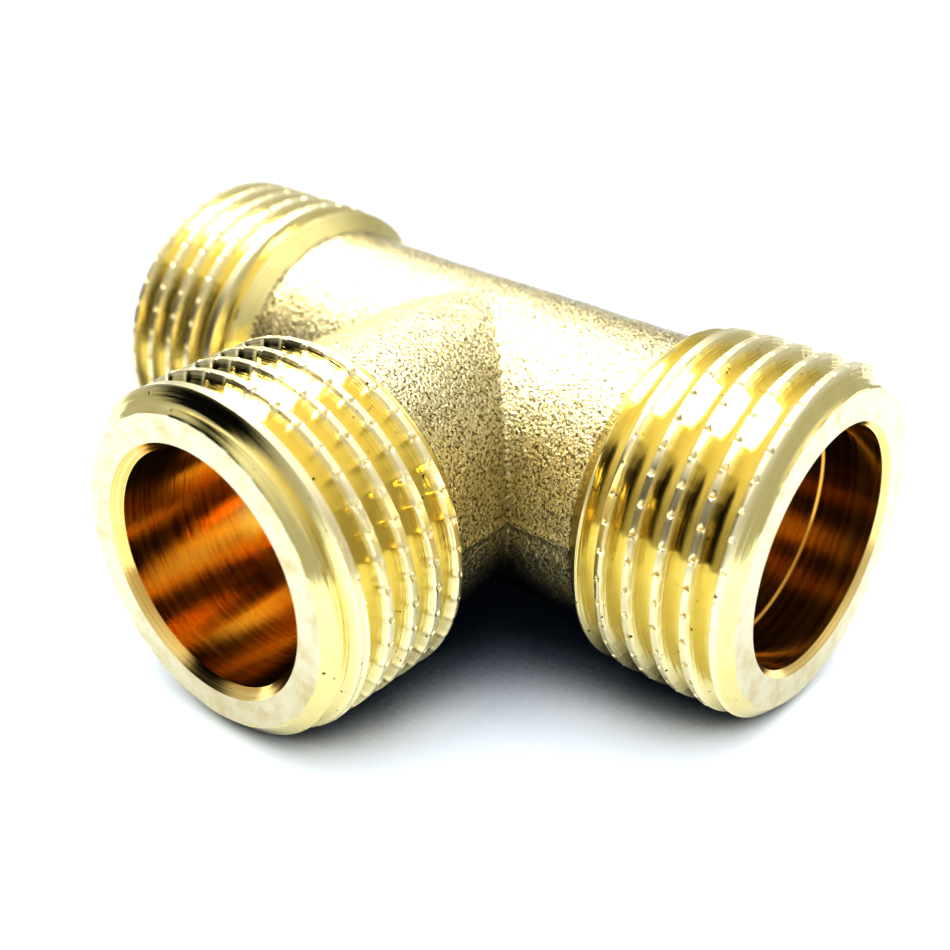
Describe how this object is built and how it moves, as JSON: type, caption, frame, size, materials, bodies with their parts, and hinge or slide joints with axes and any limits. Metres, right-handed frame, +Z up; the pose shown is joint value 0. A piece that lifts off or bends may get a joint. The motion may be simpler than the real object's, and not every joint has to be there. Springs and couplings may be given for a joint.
{
  "type": "male threaded pipe tee",
  "caption": "Equal pipe tee in forged brass with an outside pipe thread on every end, knurled crests and straight-through bores.",
  "frame": {"origin": "where the run axis meets the branch axis, in the middle of the run bore", "axes": "+X along the run towards the right end, -Y along the branch, +Z square to the forging's parting plane; the tee lies on its threads with +Z up"},
  "size_m": [0.0484, 0.0345, 0.021],
  "materials": {
    "brass": "blasted forged skin on the body, bright turned threads, faces and bores"
  },
  "bodies": {
    "root": {"tee_body": "brass"}
  },
  "joints": []
}
